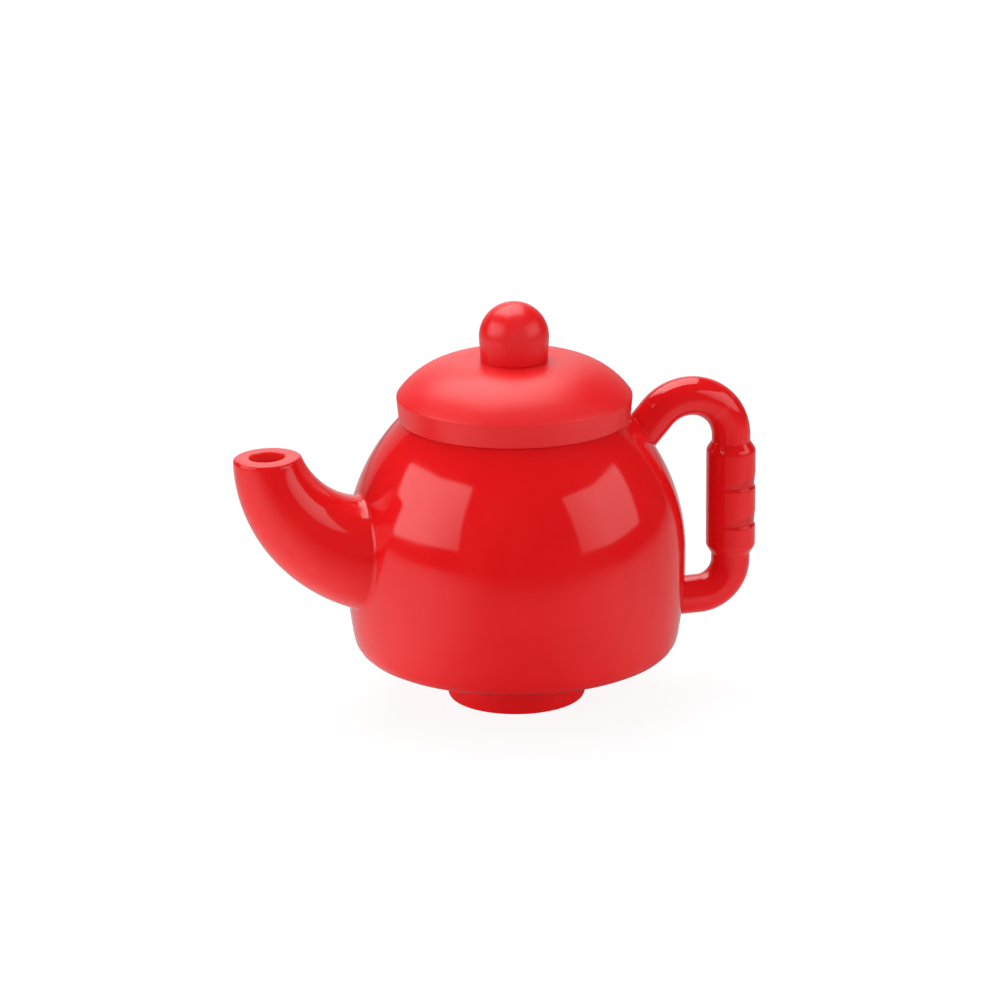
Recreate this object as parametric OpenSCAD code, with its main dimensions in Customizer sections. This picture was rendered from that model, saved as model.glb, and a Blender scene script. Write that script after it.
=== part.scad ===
// Toy teapot with a curved spout, a looped handle with a thick grip, and a lid that lifts off.
// Millimetres. +Z is up, the spout points along -X and the handle along +X.
// The origin is on the pot's axis, in the plane that the foot stands on.

/* [Pot] */
// Radius of the pot at its widest ring
body_r = 16.8; // [16:0.1:18]
// Height of the widest ring above the pot's underside
belly_rise = 10.3; // [9.4:0.1:12]
// Height of the lid's seat above the widest ring
seat_rise = 13.55; // [12.8:0.05:14.4]
// Radius of the arc that draws the flank in below the widest ring
flank_arc_r = 50; // [40:1:80]
// Radius of the arc that rounds the shoulder above the widest ring
dome_arc_r = 19.1; // [18:0.1:21]
// Radius of the rounded edge round the underside
corner_r = 2.2; // [1.6:0.1:3]
// Radius of the same edge on the inside
inner_corner_r = 0.8; // [0.4:0.1:1.4]
// Thickness of the moulded wall
wall = 1.6; // [1.2:0.1:2]
// Width of the flat seat round the neck
seat_w = 1.76; // [1.4:0.02:2.2]
// Thickness of the collar round the neck
collar_t = 1; // [0.8:0.1:1.4]
// Height of the collar below the lid's seat
collar_h = 2; // [1.4:0.1:2.4]

/* [Foot and base] */
// Height of the foot under the pot
foot_h = 4.7; // [3.6:0.1:5.6]
// Outer radius of the foot
foot_r = 6.8; // [6.2:0.1:8]
// Radius of the foot's rounded lower edge
foot_edge_r = 0.4; // [0.2:0.1:0.8]
// Radius of the socket that presses onto a stud
socket_r = 4.7; // [4.2:0.05:5.2]
// How far the socket runs on above the foot, into the base plate
socket_recess = 0.2; // [0.1:0.1:0.8]
// Width of the pot's flat rim round the base plate
base_rim_w = 0.7; // [0.4:0.1:2]
// Thickness of the base plate's flange
base_flange_t = 0.9; // [0.7:0.1:1.1]
// Thickness of the whole base plate
base_t = 1.8; // [1.6:0.1:2.4]
// Width of the ledge that the base plate's flange is welded to
ledge_w = 0.8; // [0.5:0.1:1.2]

/* [Spout] */
// Radius of the spout where it meets the pot
spout_wall_r = 5.45; // [4.9:0.05:5.8]
// Outer radius of the spout's mouth
spout_mouth_r = 3.3; // [2.9:0.05:3.6]
// How much slimmer the spout is halfway than a straight taper
spout_waist = 0.05; // [0:0.05:0.4]
// Radius of the bend along the spout's centre line
spout_bend_r = 12.45; // [11.6:0.05:14]
// How far inside the widest ring the bend starts
spout_inset = 4.2; // [3:0.1:5]
// Height of the bend's level start above the widest ring
spout_rise = 0.9; // [0:0.1:1.6]
// Height of the mouth above the bend's level start
mouth_rise = 10.8; // [9:0.05:11.3]
// Outward tilt of the flat mouth, in degrees
mouth_tilt = 2; // [0:0.5:8]
// Radius of the pouring hole at the mouth
channel_mouth_r = 1.72; // [1.4:0.02:2]
// Radius of the channel at the pot's wall
channel_root_r = 3; // [2.5:0.1:3.1]
// Thickness of the spigot that plugs into the pot's wall, beyond the channel's radius
spigot_t = 1.2; // [1:0.1:1.3]

/* [Handle] */
// Distance from the widest ring to the axis of the upright bar
bar_reach = 5.6; // [5.2:0.1:8]
// Radius of the handle's bar
bar_r = 1.93; // [1.75:0.02:2.1]
// Radius of the arch along its centre line
arch_r = 4.42; // [4:0.02:4.8]
// Height of the arch's centre above the widest ring
arch_rise = 9.82; // [9.4:0.02:10.6]
// Turn of the arch before its leg runs straight to the shoulder, in degrees
arch_turn = 138.5; // [130:0.5:150]
// Height of the lower arm above the pot's underside
arm_rise = 3.9; // [3.4:0.1:5]
// Radius of the bend between the lower arm and the upright bar
arm_bend_r = 3.4; // [2.8:0.1:3.6]
// Radius of the two pegs that hold the handle in the pot's wall
peg_r = 1.1; // [0.8:0.05:1.3]

/* [Grip] */
// Outer radius of the grip
grip_r = 2.47; // [2.3:0.02:2.7]
// Length of bare bar between the lower bend and the grip
bare_low = 0.65; // [0.3:0.05:1.6]
// Length of bare bar between the grip and the arch
bare_top = 0.57; // [0.3:0.01:1.6]
// Radius of the rounding at the grip's ends
grip_round_r = 1.2; // [0.8:0.1:1.4]
// Radius of the bar's core inside the grip
core_r = 1.3; // [1:0.05:1.5]
// Depth of each groove at the back of the grip
groove_depth = 0.16; // [0.1:0.02:0.3]
// Section radius of each groove
groove_section_r = 2; // [1:0.1:3]
// Distance between the two grooves
groove_pitch = 4; // [3:0.1:5]
// How far the pair of grooves lies below the middle of the grip
groove_drop = 0.55; // [0:0.05:1]

/* [Lid] */
// How far the lid's band stands out past the seat
lid_overhang = 0.2; // [0.1:0.05:0.6]
// Height of the lid's band
band_h = 2.35; // [2.1:0.05:3]
// Growth of the band's radius from its foot to its top
band_flare = 0.22; // [0.1:0.02:0.4]
// Radius of the arc from the band up to the crown
crown_arc_r = 8.1; // [7.6:0.1:9.6]
// How far that arc runs in from the band before the crown is flat
crown_run = 6.68; // [6:0.02:7.2]
// Thickness of the lid's cover
lid_wall = 1.4; // [1.1:0.1:1.6]
// Thickness of the disc that closes the lid underneath
liner_t = 1.2; // [0.9:0.1:1.5]
// Width of the ledge that the disc seats against
liner_ledge = 0.4; // [0.3:0.1:0.8]
// Depth of the ring that plugs into the neck
plug_h = 2.4; // [1.6:0.1:3]
// Thickness of the ring that plugs into the neck
plug_t = 1.2; // [0.8:0.1:1.6]

/* [Knob] */
// Radius of the knob's ball
knob_r = 3.43; // [3:0.01:3.8]
// Radius of the knob at its foot
knob_foot_r = 3.3; // [2.8:0.05:3.6]
// Height of the ball's centre above the crown
knob_rise = 2.36; // [1.6:0.02:3]
// Radius of the small curve where the knob meets the crown
knob_fillet_r = 0.35; // [0.2:0.05:0.6]
// Radius of the knob's stem
stem_r = 1.6; // [1.2:0.1:2]
// Width of the head that is pressed out of the stem's end
stake_w = 0.8; // [0.5:0.1:1.2]
// Thickness of that head
stake_t = 0.8; // [0.5:0.1:1.2]

/* [Fits] */
// Radial gap between pieces that are welded or pressed together
fit_gap = 0.05; // [0.02:0.01:0.1]
// Radial gap between the lid's ring and the neck
lift_gap = 0.15; // [0.1:0.01:0.3]
// How far the spigot and the pegs stand through the wall
proud = 0.4; // [0.2:0.1:0.6]

/* [Hidden] */
$fn = 96;
gloss_red = [0.84, 0.07, 0.09];
satin_red = [0.90, 0.16, 0.16];

// Overrun of every cut past the face that it opens
over = wall;
// How far the spigot and the pegs run on inside the spout and the bar
root_run = peg_r;

// Heights above the plane that the foot stands on
underside_z = foot_h;
belly_z = underside_z + belly_rise;
seat_z = belly_z + seat_rise;

// Radius of the shoulder where the lid's seat cuts it off, and of the neck inside it
seat_r = body_r - dome_arc_r + sqrt(pow(dome_arc_r, 2) - pow(seat_rise, 2));
neck_r = seat_r - seat_w;
// Radius of the pot's flat underside, and of the base plate's flange and plug inside it
underside_r = body_r - flank_arc_r + sqrt(pow(flank_arc_r - corner_r, 2) - pow(belly_rise - corner_r, 2));
base_r = underside_r - base_rim_w;
base_plug_r = base_r - ledge_w;

// Spout: angles along its bend, from the level start
spout_start_x = body_r - spout_inset;
spout_z = belly_z + spout_rise;
wall_turn = asin(spout_inset / spout_bend_r);
mouth_turn = acos(1 - mouth_rise / spout_bend_r);
spout_sides = 36;
spout_rings = 18;
// The sweeps run on half a ring past the plane of the mouth, which cuts them off
end_turn = mouth_turn * 2 * spout_rings / (2 * spout_rings - 1);
// The spigot is level with the centre line in the middle of the pot's wall
spigot_turn = asin((spout_inset - wall / 2) / spout_bend_r);
spigot_z = spout_z + spout_bend_r * (1 - cos(spigot_turn));
spigot_r = channel_root_r + spigot_t;

// Handle: the upright bar, the arch and the point where the arch's leg meets the shoulder
bar_x = body_r + bar_reach;
arch_x = bar_x - arch_r;
arch_z = belly_z + arch_rise;
arm_z = underside_z + arm_rise;
leg_way = [-sin(arch_turn), cos(arch_turn)];
leg_top = [arch_x + arch_r * cos(arch_turn), arch_z + arch_r * sin(arch_turn)];
leg_back = leg_top - [body_r - dome_arc_r, belly_z];
leg_near = -leg_way * leg_back;
leg_run = leg_near - sqrt(pow(leg_near, 2) - leg_back * leg_back + pow(dome_arc_r, 2));
upper_peg_z = (leg_top + leg_run * leg_way)[1];
// The leg is a hair slimmer than the arch and starts inside it, where it still lies under the arch's skin
leg_r = bar_r - fit_gap / 2;
leg_lap = sqrt(arch_r * (bar_r - leg_r));

// Grip and its grooves
grip_low_z = arm_z + arm_bend_r + bare_low;
grip_top_z = arch_z - bare_top;
grip_len = grip_top_z - grip_low_z;
grip_mid_z = (grip_low_z + grip_top_z) / 2;
grip_end_run = sqrt(pow(grip_round_r, 2) - pow(bar_r - grip_r + grip_round_r, 2));
groove_shift = groove_depth / 2;
groove_ring_r = grip_r + groove_section_r - groove_shift;

// Lid: radii and heights that follow the seat and the neck
lid_foot_r = seat_r + lid_overhang;
lid_rim_r = lid_foot_r + band_flare;
band_top_z = seat_z + band_h;
crown_flat_r = lid_rim_r - crown_run;
crown_centre_z = band_top_z - sqrt(pow(crown_arc_r, 2) - pow(crown_run, 2));
crown_z = crown_centre_z + crown_arc_r;
liner_r = lid_foot_r - lid_wall;
void_r = liner_r - liner_ledge;
plug_r = neck_r - lift_gap;
knob_centre_z = crown_z + knob_rise;

// Radius of the pot's outline, set in by a depth, at a height above its widest ring
function flank_r(depth, fall) = body_r - flank_arc_r + sqrt(pow(flank_arc_r - depth, 2) - pow(fall, 2));
function shoulder_r(depth, rise) = body_r - dome_arc_r + sqrt(pow(dome_arc_r - depth, 2) - pow(rise, 2));

// Centre line of the spout, as [x, z], at an angle along the bend
function spout_centre(turn) = [-spout_start_x - spout_bend_r * sin(turn),
                               spout_z + spout_bend_r * (1 - cos(turn))];
// Share of the way from the pot's wall to the mouth
function spout_way(turn) = (turn - wall_turn) / (mouth_turn - wall_turn);
// Direction across the spout, as [x, z]: the sections lean over until the one at the mouth lies in its plane
function spout_lean(turn) = turn + (90 - mouth_tilt - mouth_turn) * spout_way(turn);
function spout_normal(turn) = [sin(spout_lean(turn)), cos(spout_lean(turn))];
function spout_taper(turn, root, mouth, waist) = root + (mouth - root) * spout_way(turn)
    - 4 * waist * spout_way(turn) * (1 - spout_way(turn));
function spout_ring(turn, r) = [for (side = [0 : spout_sides - 1])
    let (round = 360 * side / spout_sides, c = spout_centre(turn), n = spout_normal(turn))
    [c[0] + r * cos(round) * n[0], r * sin(round), c[1] + r * cos(round) * n[1]]];

// Half outline of the pot, set in by a depth, with its lower edge rounded
module pot_outline(depth, edge_r) {
    low_z = underside_z + depth;
    edge_fall = belly_z - low_z - edge_r;
    edge_x = body_r - flank_arc_r + sqrt(pow(flank_arc_r - depth - edge_r, 2) - pow(edge_fall, 2));
    edge_turn = asin(edge_fall / (flank_arc_r - depth - edge_r));
    cut_reach = 2 * edge_r + over;
    intersection() {
        translate([0, belly_z]) square([body_r, seat_rise]);
        translate([body_r - dome_arc_r, belly_z]) circle(dome_arc_r - depth);
    }
    difference() {
        intersection() {
            translate([0, low_z]) square([body_r, belly_z - low_z]);
            translate([body_r - flank_arc_r, belly_z]) circle(flank_arc_r - depth);
        }
        difference() {
            polygon([[edge_x, low_z + edge_r],
                     [edge_x + cut_reach * cos(edge_turn), low_z + edge_r - cut_reach * sin(edge_turn)],
                     [edge_x, low_z + edge_r - cut_reach]]);
            translate([edge_x, low_z + edge_r]) circle(edge_r);
        }
    }
}

// The pot as one solid, which cuts the roots of the spout and the handle
module pot_solid() {
    rotate_extrude() pot_outline(0, corner_r);
}

// A solid horn along the spout's bend, with its radius at the pot's wall and at the mouth
module spout_sweep(root, mouth, waist) {
    turns = [for (step = [0 : spout_rings]) end_turn * step / spout_rings];
    points = [for (turn = turns) each spout_ring(turn, spout_taper(turn, root, mouth, waist))];
    last = spout_rings * spout_sides;
    skin = [for (step = [0 : spout_rings - 1], side = [0 : spout_sides - 1])
        let (a = step * spout_sides + side,
             b = step * spout_sides + (side + 1) % spout_sides,
             c = b + spout_sides,
             d = a + spout_sides)
        each [[a, c, b], [a, d, c]]];
    caps = [[for (side = [0 : spout_sides - 1]) side],
            [for (side = [0 : spout_sides - 1]) last + spout_sides - 1 - side]];
    polyhedron(points = points, faces = concat(skin, caps));
}

// A level cylinder along X, between two distances from the pot's axis
module level_pin(from, to, r, z) {
    translate([from, 0, z]) rotate([0, 90, 0]) cylinder(r = r, h = to - from);
}

// Pot: a thin moulded shell, open at the neck and underneath, with holes for the spout and pegs
module body_shell() {
    color(gloss_red) difference() {
        rotate_extrude() difference() {
            union() {
                difference() {
                    pot_outline(0, corner_r);
                    pot_outline(wall, inner_corner_r);
                }
                intersection() {
                    pot_outline(0, corner_r);
                    translate([neck_r, seat_z - collar_h]) square([collar_t, collar_h]);
                }
            }
            translate([0, seat_z - collar_h - over]) square([neck_r, collar_h + 2 * over]);
            translate([0, underside_z - over]) square([base_r + fit_gap, base_flange_t + over]);
            translate([0, underside_z]) square([base_plug_r + fit_gap, wall + over]);
        }
        mirror([1, 0, 0]) level_pin(spout_start_x, body_r + over, spigot_r + fit_gap, spigot_z);
        level_pin(shoulder_r(wall, upper_peg_z - belly_z) - proud - fit_gap, body_r + over,
                  peg_r + fit_gap, upper_peg_z);
        level_pin(flank_r(wall, belly_z - arm_z) - proud - fit_gap, body_r + over, peg_r + fit_gap, arm_z);
    }
}

// Base plate: closes the pot underneath and carries the foot with its stud socket
module base_plate() {
    color(gloss_red) rotate_extrude() difference() {
        union() {
            translate([0, underside_z]) square([base_r, base_flange_t]);
            translate([0, underside_z]) square([base_plug_r, base_t]);
            difference() {
                square([foot_r, underside_z + base_flange_t]);
                difference() {
                    translate([foot_r - foot_edge_r, 0]) square([foot_edge_r, foot_edge_r]);
                    translate([foot_r - foot_edge_r, foot_edge_r]) circle(foot_edge_r);
                }
            }
        }
        translate([0, -over]) square([socket_r, foot_h + socket_recess + over]);
    }
}

// Spout: a tapered curved horn with a pouring channel, cut to the pot's wall and spigoted through it
module spout() {
    color(gloss_red) difference() {
        union() {
            difference() {
                spout_sweep(spout_wall_r, spout_mouth_r, spout_waist);
                pot_solid();
            }
            mirror([1, 0, 0])
                level_pin(flank_r(wall, 0) - proud, body_r + root_run, spigot_r, spigot_z);
        }
        spout_sweep(channel_root_r, channel_mouth_r, 0);
        translate([spout_centre(mouth_turn)[0], 0, spout_centre(mouth_turn)[1]])
            rotate([0, -mouth_tilt, 0])
            translate([-body_r, -body_r, 0]) cube([2 * body_r, 2 * body_r, body_r]);
    }
}

// Handle: one bar, bent into a loop, with a thin core inside the grip and two pegs into the pot
module handle_bar() {
    color(gloss_red) {
        difference() {
            union() {
                translate([arch_x, 0, arch_z]) rotate([90, 0, 0]) {
                    rotate_extrude(angle = arch_turn) translate([arch_r, 0]) circle(bar_r);
                    rotate([0, 0, arch_turn]) translate([arch_r, -leg_lap, 0]) rotate([-90, 0, 0])
                        cylinder(r = leg_r, h = leg_lap + leg_run + leg_r);
                }
                translate([bar_x, 0, grip_top_z]) cylinder(r = bar_r, h = bare_top);
                translate([bar_x, 0, grip_low_z]) cylinder(r = core_r, h = grip_len);
                translate([bar_x, 0, arm_z + arm_bend_r]) cylinder(r = bar_r, h = bare_low);
                translate([bar_x - arm_bend_r, 0, arm_z + arm_bend_r]) rotate([90, 0, 0])
                    rotate_extrude(angle = -90) translate([arm_bend_r, 0]) circle(bar_r);
                level_pin(body_r - wall, bar_x - arm_bend_r, bar_r, arm_z);
            }
            pot_solid();
        }
        level_pin(shoulder_r(wall, upper_peg_z - belly_z) - proud,
                  shoulder_r(0, upper_peg_z - belly_z) + root_run, peg_r, upper_peg_z);
        level_pin(flank_r(wall, belly_z - arm_z) - proud, body_r + root_run, peg_r, arm_z);
    }
}

// Grip: a thicker sleeve moulded round the bar's core, with two grooves that fade towards the pot
module handle_grip() {
    color(gloss_red) translate([bar_x, 0, 0]) difference() {
        rotate_extrude() difference() {
            translate([core_r, grip_low_z]) square([grip_r - core_r, grip_len]);
            grip_corner(grip_top_z - grip_end_run, 1);
            grip_corner(grip_low_z + grip_end_run, -1);
        }
        for (way = [-1, 1])
            translate([-groove_shift, 0, grip_mid_z - groove_drop + way * groove_pitch / 2])
                rotate_extrude() translate([groove_ring_r, 0]) circle(groove_section_r);
    }
}

// What is taken off the grip's outline at one end; way is 1 at the top and -1 at the bottom
module grip_corner(z, way) {
    translate([grip_r - grip_round_r, z]) scale([1, way]) difference() {
        square([grip_round_r + over, grip_round_r]);
        circle(grip_round_r);
    }
}

// Lid's cover: a band under a domed crown, hollow, with a hole for the knob's stem
module lid_cover() {
    color(satin_red) rotate_extrude() difference() {
        intersection() {
            polygon([[0, seat_z], [lid_foot_r, seat_z], [lid_rim_r, band_top_z],
                     [lid_rim_r, crown_z], [0, crown_z]]);
            union() {
                translate([0, seat_z]) square([crown_flat_r, crown_z - seat_z]);
                translate([crown_flat_r, crown_centre_z]) circle(crown_arc_r);
            }
        }
        intersection() {
            translate([0, seat_z]) square([void_r, crown_z - lid_wall - seat_z]);
            union() {
                translate([0, seat_z]) square([crown_flat_r, crown_z - lid_wall - seat_z]);
                translate([crown_flat_r, crown_centre_z]) circle(crown_arc_r - lid_wall);
            }
        }
        translate([0, seat_z - over]) square([liner_r + fit_gap, liner_t + over]);
        square([stem_r + fit_gap, crown_z + over]);
    }
}

// Lid's liner: closes the cover underneath, and its ring plugs into the neck
module lid_liner() {
    color(satin_red) {
        translate([0, 0, seat_z]) cylinder(r = liner_r, h = liner_t);
        translate([0, 0, seat_z - plug_h]) difference() {
            cylinder(r = plug_r, h = plug_h);
            translate([0, 0, -over]) cylinder(r = plug_r - plug_t, h = plug_h + over);
        }
    }
}

// Knob: a solid ball on a short neck, whose stem is headed over under the crown
module lid_knob() {
    color(satin_red) rotate_extrude() {
        polygon([[0, crown_z], [knob_foot_r, crown_z], [knob_r, knob_centre_z], [0, knob_centre_z]]);
        intersection() {
            translate([0, knob_centre_z]) circle(knob_r);
            translate([0, knob_centre_z]) square([knob_r, knob_r]);
        }
        difference() {
            translate([0, crown_z]) square([knob_foot_r + knob_fillet_r, knob_fillet_r]);
            translate([knob_foot_r + knob_fillet_r, crown_z + knob_fillet_r]) circle(knob_fillet_r);
        }
        translate([0, crown_z - lid_wall - stake_t]) square([stem_r, lid_wall + stake_t]);
        translate([0, crown_z - lid_wall - stake_t]) square([stem_r + stake_w, stake_t]);
    }
}

body_shell();
base_plate();
spout();
handle_bar();
handle_grip();
lid_cover();
lid_liner();
lid_knob();
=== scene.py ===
"""Toy teapot in red plastic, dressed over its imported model: a pot with a curved spout, a looped handle with a thick
grip, and a lid that lifts off.
Everything is in metres, +Z is up, the spout points along -X and the handle along +X."""
import math

import bmesh
import bpy
import numpy as np
from mathutils import Matrix, Vector


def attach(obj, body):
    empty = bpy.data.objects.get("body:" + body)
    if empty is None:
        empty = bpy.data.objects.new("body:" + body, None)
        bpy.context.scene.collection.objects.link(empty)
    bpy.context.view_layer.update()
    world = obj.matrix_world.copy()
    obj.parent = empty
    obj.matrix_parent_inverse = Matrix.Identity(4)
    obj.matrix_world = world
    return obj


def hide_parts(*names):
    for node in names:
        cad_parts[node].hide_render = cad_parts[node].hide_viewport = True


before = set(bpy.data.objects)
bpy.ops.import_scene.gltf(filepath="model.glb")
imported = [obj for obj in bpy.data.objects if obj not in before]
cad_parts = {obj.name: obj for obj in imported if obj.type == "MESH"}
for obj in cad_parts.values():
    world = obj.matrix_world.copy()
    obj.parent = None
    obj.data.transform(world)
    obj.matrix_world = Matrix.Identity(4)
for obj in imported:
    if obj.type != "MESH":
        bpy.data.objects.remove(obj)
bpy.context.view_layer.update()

# Pot: a thin shell of glossy red ABS, injection moulded in one piece, open at the neck and underneath.
# Its outline is two arcs that meet at the widest ring, with a rounded edge round the underside. The spout's
# spigot and the handle's two pegs are pressed through holes in its wall.
mm = 0.001
belly_r, belly_z = 16.8 * mm, 15.0 * mm
seat_z, underside_z = 28.55 * mm, 4.7 * mm
flank_bend_r, shoulder_bend_r = 50 * mm, 19.1 * mm
lower_edge_r, inner_edge_r = 2.2 * mm, 0.8 * mm
pot_wall = 1.6 * mm
neck_r, collar_t, collar_h = 9.401 * mm, 1.0 * mm, 2.0 * mm
rebate_r, ledge_r, rebate_h = 13.259 * mm, 12.459 * mm, 0.9 * mm
flank_centre_r, shoulder_centre_r = belly_r - flank_bend_r, belly_r - shoulder_bend_r


def add(tree, kind, inputs=(), **settings):
    """Adds a node with its settings, each of its inputs linked to a socket or set to a value."""
    made = tree.nodes.new(kind)
    for name, value in settings.items():
        setattr(made, name, value)
    for key, value in dict(inputs).items():
        if isinstance(value, bpy.types.NodeSocket):
            tree.links.new(value, made.inputs[key])
        else:
            made.inputs[key].default_value = value
    return made


def moulded_red(name, deep, bright, smooth, rough, ripple, grain, ring_lines):
    """Red ABS straight from the mould: a slight flow pattern in the colour, faint ripples from cooling,
    a fine grain, a few hair scuffs from play, and paler, duller edges where hands have rubbed it.
    It is duller, and darker as painted shade, where a mesh marks the grip's grooves. It is a brighter red where a mesh
    marks the spout's channel: painted light inside the pouring hole."""
    material = bpy.data.materials.new(name)
    material.use_nodes = True
    tree = material.node_tree
    tree.nodes.clear()
    place = add(tree, "ShaderNodeTexCoord").outputs["Object"]
    flow = add(tree, "ShaderNodeTexNoise", {"Vector": place, "Scale": 110.0, "Detail": 4.0, "Distortion": 0.6})
    ripples = add(tree, "ShaderNodeTexNoise", {"Vector": place, "Scale": 170.0, "Detail": 1.0})
    grains = add(tree, "ShaderNodeTexNoise", {"Vector": place, "Scale": 3200.0, "Detail": 2.0})
    stretched = add(tree, "ShaderNodeMapping",
                    {"Vector": place, "Rotation": (0.5, 0.3, 0.9), "Scale": (1.0, 14.0, 5.0)})
    hairs = add(tree, "ShaderNodeTexNoise", {"Vector": stretched.outputs["Vector"], "Scale": 260.0, "Detail": 3.0})
    scuffs = add(tree, "ShaderNodeMapRange", {"Value": hairs.outputs["Fac"], "From Min": 0.67, "From Max": 0.77})
    crest = add(tree, "ShaderNodeNewGeometry").outputs["Pointiness"]
    rubbed = add(tree, "ShaderNodeMapRange", {"Value": crest, "From Min": 0.56, "From Max": 0.75, "To Max": 0.2})
    painted_shade_and_film = add(tree, "ShaderNodeAttribute", attribute_name="painted_shade_and_film").outputs["Fac"]
    painted_inner_light = add(tree, "ShaderNodeAttribute", attribute_name="painted_inner_light").outputs["Fac"]

    shades = add(tree, "ShaderNodeValToRGB", {"Fac": flow.outputs["Fac"]})
    shades.color_ramp.elements[0].position, shades.color_ramp.elements[0].color = 0.3, (*deep, 1)
    shades.color_ramp.elements[1].position, shades.color_ramp.elements[1].color = 0.7, (*bright, 1)
    pale = (bright[0] + 0.04, bright[1] + 0.04, bright[2] + 0.04, 1)
    # Painted shade: a darker red for the grip's grooves.
    shade_red = (0.78 * deep[0], 0.5 * deep[1], 0.5 * deep[2], 1)
    # Painted light: a brighter red for the inside of the spout's channel.
    light_red = (0.97, 0.032, 0.03, 1)
    handled = add(tree, "ShaderNodeMix", {0: rubbed.outputs["Result"], 6: shades.outputs["Color"], 7: pale},
                  data_type="RGBA")
    shade_painted = add(tree, "ShaderNodeMix", {0: painted_shade_and_film, 6: handled.outputs[2], 7: shade_red}, data_type="RGBA")
    colour = add(tree, "ShaderNodeMix", {0: painted_inner_light, 6: shade_painted.outputs[2], 7: light_red}, data_type="RGBA")

    scuff_dulls, rub_dulls, film_dulls = 0.04, 0.3, 0.06
    dullness = add(tree, "ShaderNodeMapRange", {"Value": flow.outputs["Fac"], "From Min": 0.3, "From Max": 0.7,
                                               "To Min": smooth, "To Max": rough})
    scuffed = add(tree, "ShaderNodeMath",
                  {0: scuffs.outputs["Result"], 1: scuff_dulls, 2: dullness.outputs["Result"]},
                  operation="MULTIPLY_ADD")
    worn = add(tree, "ShaderNodeMath", {0: rubbed.outputs["Result"], 1: rub_dulls, 2: scuffed.outputs["Value"]},
               operation="MULTIPLY_ADD")
    filmed = add(tree, "ShaderNodeMath", {0: painted_shade_and_film, 1: film_dulls, 2: worn.outputs["Value"]}, operation="MULTIPLY_ADD")

    rippled = add(tree, "ShaderNodeBump", {"Height": ripples.outputs["Fac"], "Strength": 1.0, "Distance": ripple})
    grained = add(tree, "ShaderNodeBump", {"Height": grains.outputs["Fac"], "Strength": 1.0, "Distance": grain,
                                           "Normal": rippled.outputs["Normal"]})
    flat = add(tree, "ShaderNodeVectorMath", {0: place, 1: (1.0, 1.0, 0.0)}, operation="MULTIPLY")
    reach = add(tree, "ShaderNodeVectorMath", {0: flat.outputs["Vector"]}, operation="LENGTH")
    rings = add(tree, "ShaderNodeTexNoise", {"W": reach.outputs["Value"], "Scale": 1900.0, "Detail": 2.0},
                noise_dimensions="1D")
    lined = add(tree, "ShaderNodeBump", {"Height": rings.outputs["Fac"], "Strength": 1.0, "Distance": ring_lines,
                                         "Normal": grained.outputs["Normal"]})
    skin = add(tree, "ShaderNodeBsdfPrincipled", {"Base Color": colour.outputs[2], "Roughness": filmed.outputs["Value"],
                                                  "IOR": 1.5, "Normal": lined.outputs["Normal"]})
    add(tree, "ShaderNodeOutputMaterial", {"Surface": skin.outputs["BSDF"]})
    return material


gloss_red = moulded_red("gloss red plastic", (0.70, 0.0060, 0.0080), (0.75, 0.0085, 0.0105), smooth=0.075, rough=0.115,
                        ripple=0.010 * mm, grain=0.0001 * mm, ring_lines=0.0)


def arc(centre, radius, start, end, steps=160):
    """Points of an outline on an arc between two angles in degrees."""
    turns = np.radians(np.linspace(start, end, steps + 1))
    return np.stack([centre[0] + radius * np.cos(turns), centre[1] + radius * np.sin(turns)], 1)


def walked(run):
    """Length walked along a run of points, up to each of them."""
    return np.concatenate([[0.0], np.cumsum(np.linalg.norm(np.diff(run, axis=0), axis=1))])


def cut_back(run, reach):
    """The run without a stretch of that length at its start."""
    way = walked(run)
    start = [np.interp(reach, way, run[:, 0]), np.interp(reach, way, run[:, 1])]
    return np.vstack([start, run[way > reach + 1e-9]])


def even_steps(run, pitch):
    """The run with a point every pitch, and with closer points beside its ends, so that gloss stays clean there."""
    way = walked(run)
    first_step, growth = 0.07 * mm, 1.7
    near, step = [0.0], first_step
    while near[-1] + step < way[-1] / 2:
        near.append(near[-1] + step)
        step = min(step * growth, pitch)
    stops = np.array(near + [way[-1] - stop for stop in near[::-1]])
    return np.stack([np.interp(stops, way, run[:, 0]), np.interp(stops, way, run[:, 1])], 1)


def outline(runs, radii, pitch, bends=7):
    """An outline from runs of points. A radius rounds the corner between each run and the next, and where there are as
    many radii as runs, the last one rounds the corner back to the first run."""
    runs = [np.array(run, float) for run in runs]
    rounds = []
    for k, radius in enumerate(radii):
        after = (k + 1) % len(runs)
        if radius == 0:
            rounds.append(np.empty((0, 2)))
            continue
        corner = runs[after][0]
        back, on = runs[k][::-1], runs[after]
        half = math.radians(45)
        for _ in range(3):
            reach = radius / math.tan(half)
            ends = [cut_back(side, reach)[0] for side in (back, on)]
            ways = [(end - corner) / np.linalg.norm(end - corner) for end in ends]
            half = math.acos(max(-1.0, min(1.0, float(ways[0] @ ways[1])))) / 2
        runs[k] = cut_back(back, reach)[::-1]
        runs[after] = cut_back(on, reach)
        u = np.linspace(0, 1, bends + 2)[1:-1, None]
        pull = 2 * u * (1 - u) * math.sin(half)
        rounds.append(((1 - u) ** 2 * ends[0] + pull * corner + u ** 2 * ends[1]) / ((1 - u) ** 2 + pull + u ** 2))
    rounds += [np.empty((0, 2))] * (len(runs) - len(rounds))
    points = np.vstack([part for run, bend in zip(runs, rounds) for part in (even_steps(run, pitch), bend)])
    if len(radii) == len(runs):
        points = np.vstack([points, points[:1]])
    kept = np.concatenate([[True], np.linalg.norm(np.diff(points, axis=0), axis=1) > 1e-7])
    return points[kept]


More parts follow.
